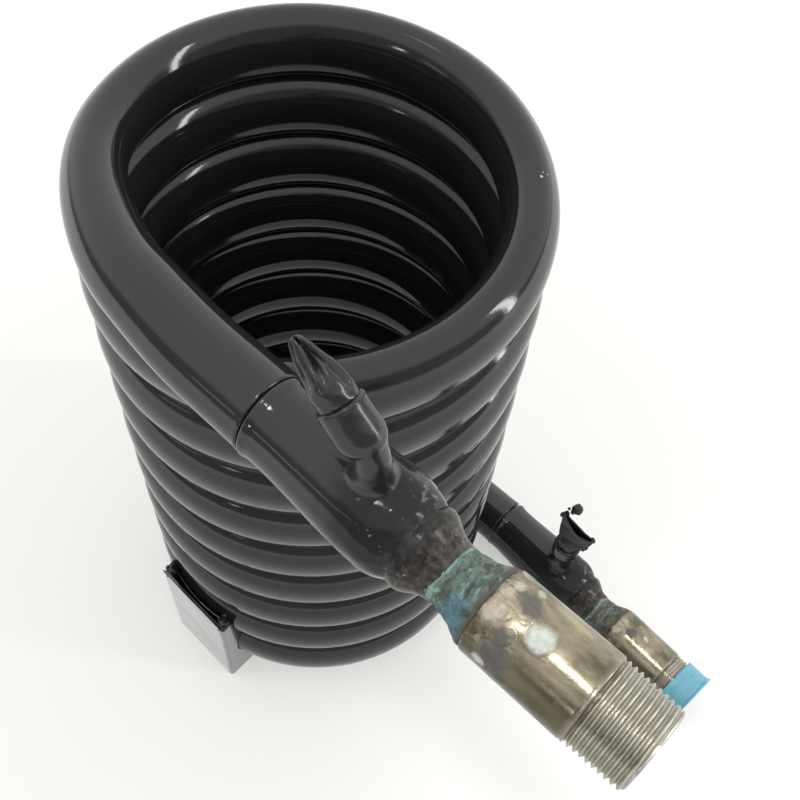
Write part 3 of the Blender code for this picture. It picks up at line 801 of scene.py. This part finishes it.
def nipple_profile():
    """A chamfered shoulder, the plain barrel, rows close enough for the thread, and the bore."""
    barrel = NIPPLE_START + 0.0009
    tip = NIPPLE_END - 0.0006
    rows = round((tip - THREAD_START) / THREAD_PITCH * THREAD_ROWS)
    made = [(NIPPLE_START, 0.0125), (NIPPLE_START + 0.0002, 0.0129), (barrel, NIPPLE_RADIUS)]
    made += even_rows(barrel, THREAD_START, NIPPLE_RADIUS, BARREL_ROWS)
    made += even_rows(THREAD_START, tip, NIPPLE_RADIUS, rows)
    made += [(NIPPLE_END - 0.0001, 0.0118), (NIPPLE_END, 0.0115), (NIPPLE_END, 0.0108)]
    made += [(NIPPLE_END - 0.0004, NIPPLE_BORE), (NIPPLE_SEAT, NIPPLE_BORE)]
    return made + [(NIPPLE_SEAT, 0.00975), (NIPPLE_START, 0.00975)]


def nipple(prefix, place, matter, seed, lumps):
    def swell(angle, along, radius):
        if radius < NIPPLE_RADIUS - 0.0012:
            return radius
        size = min(radius, thread_radius(angle, along))
        x, y = around(angle, radius)
        near = smoothstep((0.0930 - along) / 0.008)
        return size + lumps * near * 0.00016 * waver(x + seed, y, along, 300.0, 4)
    lathe(prefix + "_nipple", nipple_profile(), matter, [prefix + "_threaded_nipple"], place,
          swell, steps=NIPPLE_STEPS)


# -------------------- stubs


def stub_rings(path, sides, thinner=0.0, shape=None):
    """Rings square to a path of (height, distance, half width, half thickness) in the header's upright plane.

    shape(spot, share along the path, angle, tangent) moves each point."""
    centres = [Vector((point[0], 0, point[1])) for point in path]
    side = Vector((0, 1, 0))
    rings = []
    for row, point in enumerate(path):
        before = centres[max(row - 1, 0)]
        after = centres[min(row + 1, len(centres) - 1)]
        tangent = (after - before).normalized()
        across = tangent.cross(side)
        made = []
        for angle in circle(sides):
            spot = centres[row] + across * (point[2] - thinner) * math.cos(angle)
            spot = spot + side * (point[3] - thinner) * math.sin(angle)
            if shape is not None:
                spot = shape(spot, row / (len(path) - 1), angle, tangent)
            made.append(spot)
        rings.append(made)
    return rings


def stub_socket(prefix, place, matter, path, seed):
    """A short tube swelling into a cup; its foot flows into the body as a braze fillet."""
    path = spline([(*point, point[-1]) for point in path], SOCKET_ROWS)
    foot = path[0][0]

    def shape(spot, share, angle, tangent):
        rise = spot.x - foot
        if rise < FILLET_REACH:
            flare = 0.0030 * math.exp(-rise / 0.0022)
            spot = spot + Vector((0, spot.y, spot.z - STUB_STATION)).normalized() * flare
        lump = 0.00013 * waver(spot.x + seed, spot.y, spot.z, 240.0, 2)
        return spot + Vector((0, spot.y, spot.z - LUMP_STATION)).normalized() * lump
    outer = stub_rings(path, STUB_SIDES, shape=shape)
    inner = stub_rings(path[::3] + [path[-1]], STUB_SIDES, SOCKET_WALL)
    grid_object(prefix + "_socket", outer + inner[::-1], "chiller", matter,
                [prefix + "_stub_socket", prefix + "_stub_fillet"], place, loop_rows=True)


def bead(prefix, place, matter, centre, outward, seed):
    """A lumpy bead of braze between the cup's lip and the tube in it."""
    outward = outward.normalized()
    side = Vector((0, 1, 0))
    across = outward.cross(side)
    rows = []
    for turn in circle(BEAD_ROWS):
        made = []
        for angle in circle(STUB_SIDES):
            direction = across * math.cos(angle) + side * math.sin(angle)
            size = BEAD_SIZE * (1 + 0.55 * waver(*around(angle), seed, 2.6, 3))
            made.append(centre + direction * (BEAD_HOLE + size * math.cos(turn))
                        + outward * (size * 1.1 * math.sin(turn) + 0.0002))
        rows.append(made)
    grid_object(prefix + "_bead", rows, "chiller", matter, [prefix + "_braze_ring"], place,
                loop_rows=True)


# Socket paths are (height, distance from the seam, radius); crimp paths have half width and half thickness
UPPER_SOCKET = [
    (0.0146, 0.0400, 0.0054), (0.0200, 0.0400, 0.0053), (0.0250, 0.0395, 0.0053),
    (0.0284, 0.0383, 0.0054), (0.0302, 0.0373, 0.0061), (0.0316, 0.0363, 0.0069),
    (0.0334, 0.0346, 0.0072), (0.0364, 0.0313, 0.0071), (0.0392, 0.0284, 0.0071),
]
UPPER_CRIMP = [
    (0.0365, 0.0310, 0.0057, 0.0057), (0.0398, 0.0277, 0.0060, 0.0060), (0.0424, 0.0252, 0.0062, 0.0061),
    (0.0448, 0.0222, 0.0058, 0.0056), (0.0470, 0.0186, 0.0048, 0.0046), (0.0490, 0.0158, 0.0038, 0.0036),
    (0.0507, 0.0136, 0.0028, 0.0026), (0.0519, 0.0121, 0.0018, 0.0018), (0.0524, 0.0114, 0.0006, 0.0006),
]
# (share along the crimp it starts at, share it ends at, angle there, angle drift, half spread, depth)
UPPER_FOLDS = [
    (0.30, 1.02, 30, -26, 11, 0.0019), (0.18, 0.86, -24, 10, 10, 0.0017), (0.30, 0.98, 96, -14, 15, 0.0013),
    (0.20, 0.90, 200, 0, 24, 0.0013),
]
LOWER_SOCKET = [
    (0.0146, 0.0400, 0.0054), (0.0200, 0.0400, 0.0053), (0.0245, 0.0400, 0.0053),
    (0.0268, 0.0400, 0.0056), (0.0290, 0.0400, 0.0066), (0.0312, 0.0400, 0.0072),
    (0.0350, 0.0400, 0.0072), (0.0384, 0.0400, 0.0072),
]
LOWER_CRIMP = [
    (0.0350, 0.0400, 0.0057, 0.0057), (0.0394, 0.0400, 0.0061, 0.0056), (0.0424, 0.0401, 0.0067, 0.0050),
    (0.0462, 0.0404, 0.0080, 0.0040), (0.0504, 0.0408, 0.0094, 0.0029), (0.0548, 0.0411, 0.0100, 0.0021),
    (0.0590, 0.0412, 0.0101, 0.0018),
]
# Drops of braze are (centre in the header's seat, half sizes)
LOWER_DROPS = [
    ((0.0672, -0.0052, 0.0350), (0.0029, 0.0029, 0.0029)),
    ((0.0636, -0.0042, 0.0338), (0.0026, 0.0012, 0.0013)),
    ((0.0600, -0.0024, 0.0318), (0.0030, 0.0012, 0.0016)),
    ((0.0655, -0.0030, 0.0316), (0.0011, 0.0008, 0.0008)),
    ((0.0594, -0.0008, 0.0304), (0.0022, 0.0012, 0.0011)),
    ((0.0560, -0.0030, 0.0500), (0.0022, 0.0012, 0.0016)),
    ((0.0490, -0.0006, 0.0492), (0.0019, 0.0013, 0.0013)),
    ((0.0470, 0.0004, 0.0486), (0.0012, 0.0010, 0.0010)),
]


def upper_crimp(place, matter):
    """A tube end pinched to a blunt point, its sides folded in along deep creases."""
    def shape(spot, share, angle, tangent):
        push = 0.0
        for start, end, where, drift, spread, depth in UPPER_FOLDS:
            window = smoothstep((share - start) / 0.22) * smoothstep((end - share) / 0.18)
            wave = 5 * math.sin(9 * share + where)
            apart = math.degrees(angle) - where - drift * share - wave
            apart = (apart + 180) % 360 - 180
            push += depth * window * math.exp(-(apart / spread) ** 2)
        inward = Vector((math.cos(angle) * tangent.z, -math.sin(angle), -math.cos(angle) * tangent.x))
        lump = 0.00030 * waver(spot.x, spot.y, spot.z + 0.4, 240.0, 2)
        return spot + inward * (push + lump)
    rows = stub_rings(spline(UPPER_CRIMP, UPPER_CRIMP_ROWS), UPPER_CRIMP_SIDES, shape=shape)
    grid_object("upper_crimp", rows, "chiller", matter, ["upper_crimped_tube"], place)


def blobs(name, drops, place, matter, replaced, seed):
    """Run-together drops of metal: each one an uneven ball of its own place and half sizes."""
    bm = bmesh.new()
    for centre, size in drops:
        made = bmesh.ops.create_icosphere(bm, subdivisions=4, radius=1.0)
        for vert in made["verts"]:
            spot = Vector(vert.co)
            bulge = 1 + 0.16 * waver(spot.x + seed + centre[0] * 90, spot.y, spot.z, 1.4, 3)
            vert.co = Vector(centre) + Vector((spot.x * size[0], spot.y * size[1], spot.z * size[2])) * bulge
    mesh = bpy.data.meshes.new(name)
    bm.to_mesh(mesh)
    bm.free()
    finished(name, mesh, "chiller", matter, replaced, place)


def lower_crimp(place, matter):
    """A tube end squashed to an open fish mouth that leans away, with drops of braze along its edge."""
    def shape(spot, share, angle, tangent):
        flat = smoothstep((share - 0.20) / 0.8)
        along = math.cos(angle)
        facing = math.sin(angle)
        lift = flat * (0.0034 * max(0.0, -along) ** 3 + 0.0010 * max(0.0, along) ** 4
                       - 0.0030 * max(0.0, facing) * (1 - along * along))
        lean = -0.0009 * flat ** 1.5 + flat * 0.0007 * waver(spot.z, spot.x, 0.2, 130.0, 2)
        dent = 0.00035 * waver(spot.z + 0.3, spot.x, spot.y, 210.0, 2)
        return spot + Vector((lift, lean + dent * facing, dent * along))
    path = spline(LOWER_CRIMP, LOWER_CRIMP_ROWS)
    outer = stub_rings(path, LOWER_CRIMP_SIDES, shape=shape)
    inner = stub_rings(path[MOUTH_ROW:], LOWER_CRIMP_SIDES, CRIMP_WALL, shape)
    grid_object("lower_crimp", outer + inner[::-1], "chiller", matter, ["lower_crimped_tube"],
                place)
    blobs("lower_drops", LOWER_DROPS, place, matter, ["lower_crimped_tube"], 0.3)


# -------------------- cap


def cap(place, matter):
    """A thin push-on cap: the thread below shows through as faint ridges, and its rim carries a tab."""
    def swell(angle, along, radius):
        if radius < CAP_BORE + 0.0002:
            return radius
        over = smoothstep((along - CAP_START - 0.0008) / 0.002) * smoothstep((0.1336 - along) / 0.001)
        ridge = 0.5 + 0.5 * math.cos(math.tau * thread_phase(angle, along))
        tab = smoothstep((math.cos(angle - CAP_TAB_ANGLE) - 0.90) / 0.08)
        tab *= smoothstep((along - 0.1338) / 0.0006)
        return radius - CAP_RIDGE * ridge * over + CAP_TAB * tab
    skirt = CAP_START + 0.0004
    outer = [(CAP_START, 0.01405), (CAP_START + 0.0002, 0.01440), (skirt, CAP_OUTER)]
    outer += even_rows(skirt, skirt + CAP_SKIRT, CAP_OUTER, CAP_ROWS)
    outer += [(0.1344, 0.01480), (0.1347, CAP_RIM), (0.1353, CAP_RIM), (CAP_END, 0.01505)]
    outer += [(CAP_END, 0.0100), (CAP_END - 0.0003, 0.0090), (CAP_END - 0.0003, 0.0002)]
    inner = [(0.1343, 0.0002), (0.1343, 0.0130), (0.1341, CAP_BORE), (CAP_START, CAP_BORE)]
    lathe("thread_cover", outer + inner, matter, ["thread_cap"], place, swell, body="cap")


# -------------------- bracket


def flange_reach(level, sideways):
    """How far the flange runs in from the web at a height, scalloped round the coil's two lowest passes."""
    if level > FLANGE_TOP:
        return FOLD_RADIUS * (1 - smoothstep((level - FLANGE_TOP) / 0.0012)) + 0.0003
    web = AXIS_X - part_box("foot_bracket")[0].x
    turned = math.asin(max(-1.0, min(1.0, sideways / COIL_RADIUS)))
    base = UPPER_SEAM.z - PITCH * (math.floor(TURNS) + turned / math.tau)
    depth = web - FLANGE_DEPTH
    for lift in (0, PITCH):
        offset = (level - base - lift) / (FLAT_AXIAL + COIL_CLEARANCE)
        if abs(offset) < 1:
            out = COIL_RADIUS + (FLAT_RADIAL + COIL_CLEARANCE) * math.sqrt(1 - offset * offset)
            depth = max(depth, math.sqrt(out * out - sideways * sideways))
    return web - depth


def flank(reach, half):
    """(depth, across) points of one flange from its edge to the web, with the fold's arc."""
    bend = min(reach, FOLD_RADIUS)
    points = [(reach - (reach - bend) * k / FLANK_STEPS, half) for k in range(FLANK_STEPS + 1)]
    for k in range(1, FLANK_STEPS):
        angle = math.pi / 2 * k / FLANK_STEPS
        points.append((bend * (1 - math.sin(angle)), half - FOLD_RADIUS * (1 - math.cos(angle))))
    return points


def bracket_row(level, web_x, half, mid):
    """The channel's closed outline at one height: round the outside, then back along the inside."""
    outer = []
    inner = []
    for side in (-1, 1):
        reach = max(flange_reach(level, mid - AXIS_Y + side * (half - SHEET / 2)), 0.0004)
        points = flank(reach, half)
        outer.append([(depth, side * across) for depth, across in points])
        inner.append([(max(depth, SHEET), side * min(across, half - SHEET)) for depth, across in points])
    end = half - FOLD_RADIUS
    web = [-end + 2 * end * k / WEB_STEPS for k in range(WEB_STEPS + 1)]
    outside = outer[0] + [(0.0, across) for across in web] + outer[1][::-1]
    inside = inner[1] + [(SHEET, across) for across in web[::-1]] + inner[0][::-1]
    made = []
    for depth, across in outside + inside:
        wavy = BRACKET_WAVER * waver(across, level, 0.5, 38.0, 2)
        made.append(Vector((web_x + depth + wavy, mid + across, level)))
    return made


def bracket(matter):
    """A folded channel with rounded corners, thin sheet edges and a slightly wavy web."""
    low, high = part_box("foot_bracket")
    half = (high.y - low.y) / 2
    mid = (high.y + low.y) / 2
    levels = [high.z * step / BRACKET_ROWS for step in range(BRACKET_ROWS + 1)]
    rows = [bracket_row(level, low.x + 0.0003, half, mid) for level in levels]
    grid_object("bracket", rows, "chiller", matter, ["foot_bracket"])


WELD_DROPS = [
    ((0.0, 0.0, 0.0), (0.0034, 0.0031, 0.0022)), ((0.0025, 0.0014, -0.0008), (0.0026, 0.0025, 0.0019)),
    ((-0.0024, -0.0012, -0.0002), (0.0024, 0.0022, 0.0020)),
    ((-0.0012, 0.0022, 0.0006), (0.0013, 0.0012, 0.0014)),
]


def weld_lump(name, node, matter, seed):
    """Weld metal bridging the bracket's corner and the coil."""
    blobs(name, WELD_DROPS, Matrix.Translation(middle(node)), matter, [node], seed)


# -------------------- stage


def floor(matter):
    mesh = bpy.data.meshes.new("table_top")
    corners = [(-FLOOR_HALF, -FLOOR_HALF, 0), (FLOOR_HALF, -FLOOR_HALF, 0),
               (FLOOR_HALF, FLOOR_HALF, 0), (-FLOOR_HALF, FLOOR_HALF, 0)]
    mesh.from_pydata(corners, [], [(0, 1, 2, 3)])
    mesh.materials.append(matter)
    placed("table_top", mesh, Matrix.Translation((0, 0, -FLOOR_DROP)))


def surroundings():
    """A bright room above and to +X, dimmer low down on the viewer's side."""
    room = Shader(bpy.data.worlds.new("studio"), "Background", "Generated")
    bpy.context.scene.world = room.made
    facing = room.node("ShaderNodeVectorMath", {0: room.place, 1: Vector(BRIGHT_SIDE).normalized()},
                       operation="DOT_PRODUCT")
    room.set("Strength", room.ramp(facing.outputs["Value"], *ROOM_EDGE, *ROOM_LIGHT))
    room.set("Color", (*ROOM_COLOR, 1))


def lamp(name, place, target, size, power, color=(1, 1, 1), roll=0.0, beam=180.0):
    """A rectangular lamp turned to its target; beam is the angle of its cone in degrees."""
    data = bpy.data.lights.new(name, "AREA")
    data.shape = "RECTANGLE"
    data.size, data.size_y = size
    data.energy = power
    data.color = color
    data.spread = math.radians(beam)
    aim = (Vector(target) - Vector(place)).to_track_quat("-Z", "Y").to_matrix().to_4x4()
    placed(name, data, Matrix.Translation(place) @ aim @ Matrix.Rotation(math.radians(roll), 4, "Z"))


def lights():
    lamp("strip_over", (-0.245, -0.105, 1.25), (-0.048, -0.106, 0.335), (0.085, 0.14), 0.0190,
         roll=90.0, beam=12.0)
    lamp("panel_over", (-0.30, 0.27, 1.50), (-0.078, -0.060, 0.335), (0.22, 0.22), 0.0400, beam=14.0)
    lamp("warm_strip", (-1.44, 0.54, 0.655), (-0.09, 0.0, 0.33), (0.40, 0.030), 0.26,
         color=(1.0, 0.74, 0.42), roll=24.0)
    lamp("window_front", (1.50, -2.13, 1.20), (0.0, 0.0, 0.3), (0.24, 2.2), 30.0)
    lamp("window_side", (-2.40, 0.0, 1.15), (0.07, 0.11, 0.32), (0.9, 0.20), 0.024, beam=8.0)


def camera():
    data = bpy.data.cameras.new("view")
    data.lens = CAMERA_LENS
    data.sensor_width = 36
    data.shift_x, data.shift_y = CAMERA_SHIFT
    data.clip_start = 0.01
    ahead = CAMERA_AHEAD.normalized()
    right = CAMERA_RIGHT.normalized()
    turn = Matrix((right, right.cross(ahead), -ahead)).transposed().to_4x4()
    turn.translation = CAMERA_PLACE
    bpy.context.scene.camera = placed("view", data, turn)


# -------------------- assembly


# (centre in the header's seat, radius, raggedness, tint)
UPPER_PATCHES = [
    ((0.0130, -0.0027, 0.0919), 0.0034, 0.0040, SOOT), ((0.0108, 0.0078, 0.0910), 0.0026, 0.0040, SOOT),
    ((0.0060, 0.0119, 0.0925), 0.0050, 0.0060, SOOT), ((0.0124, 0.0045, 0.0862), 0.0034, 0.0040, CREAM),
    ((0.0120, -0.0055, 0.0868), 0.0018, 0.0030, CREAM), ((0.0104, -0.0083, 0.0920), 0.0016, 0.0030, CREAM),
    ((0.0018, 0.0132, 0.0893), 0.0020, 0.0020, SALT), ((0.0131, 0.0023, 0.0988), 0.0034, 0.0028, SALT),
    ((0.0020, 0.0132, 0.0965), 0.0020, 0.0040, SOOT),
]
LOWER_PATCHES = [
    ((0.0131, -0.0022, 0.0996), 0.0014, 0.0020, SALT), ((0.0133, 0.0005, 0.0922), 0.0026, 0.0040, SOOT),
    ((0.0122, 0.0053, 0.0860), 0.0026, 0.0040, CREAM), ((0.0110, -0.0060, 0.0900), 0.0030, 0.0050, SOOT),
]
# (centre, radius), the first list in the world's frame and the second in the header's seat
PAINT_CHIPS = [
    ((0.0540, 0.0020, 0.3170), 0.00055), ((0.0560, 0.0030, 0.3170), 0.00035),
    ((0.0528, 0.0036, 0.3170), 0.00030),
    ((0.0572, 0.0014, 0.3165), 0.00030), ((0.0548, 0.0002, 0.3170), 0.00025),
]
BODY_SCRATCHES = [((0.0130, -0.0080, 0.0520), 0.0036)]


def header(prefix, place, paints, seed, lumps, aged, patches, socket):
    """One end of the chiller, from the swaged body out to the nipple, with the socket on its side."""
    body, stub = paints
    header_body(prefix, place, body, seed)
    collar(prefix, place, body, seed)
    neck(prefix, place, verdigris(prefix + "_verdigris", aged), seed, lumps)
    solder(prefix, place, crust(prefix + "_braze_crust", aged), seed, lumps)
    nipple(prefix, place, nickel_brass(prefix + "_nickel_brass", patches), seed, lumps)
    stub_socket(prefix, place, stub, socket, seed)
    lip = Vector((socket[-1][0], 0, socket[-1][1]))
    before = Vector((socket[-2][0], 0, socket[-2][1]))
    bead(prefix, place, stub, lip, lip - before, seed)


def headers():
    """Both ends of the chiller, their crimped stubs, and the cap on the lower one."""
    crimp = black_paint("crimp_paint", matt=0.28)
    body = black_paint("body_paint", scratches=BODY_SCRATCHES, fade_start=0.062)
    stub = black_paint("stub_paint", matt=0.13)
    upper = header_place(UPPER_SEAM, UPPER_OUT)
    header("upper", upper, (body, stub), 0.11, 1.0, 0.0, UPPER_PATCHES, UPPER_SOCKET)
    upper_crimp(upper, stub)
    lower = header_place(LOWER_SEAM, CAP_PULL)
    header("lower", lower, (body, stub), 0.47, 0.8, 0.8, LOWER_PATCHES, LOWER_SOCKET)
    lower_crimp(lower, crimp)
    cap(lower, blue_plastic("blue_plastic"))


coil_tube(black_paint("coil_paint", chips=PAINT_CHIPS))
water_tube(dull_copper("dull_copper"))
headers()
bracket(black_paint("bracket_paint", lacquer=1.0))
weld_paint = black_paint("weld_paint", matt=0.03)
weld_lump("front_weld", "front_tack_weld", weld_paint, 0.2)
weld_lump("back_weld", "back_tack_weld", weld_paint, 0.8)
floor(pale_floor("pale_floor"))
surroundings()
lights()
camera()
bpy.context.scene.view_settings.view_transform = "Standard"
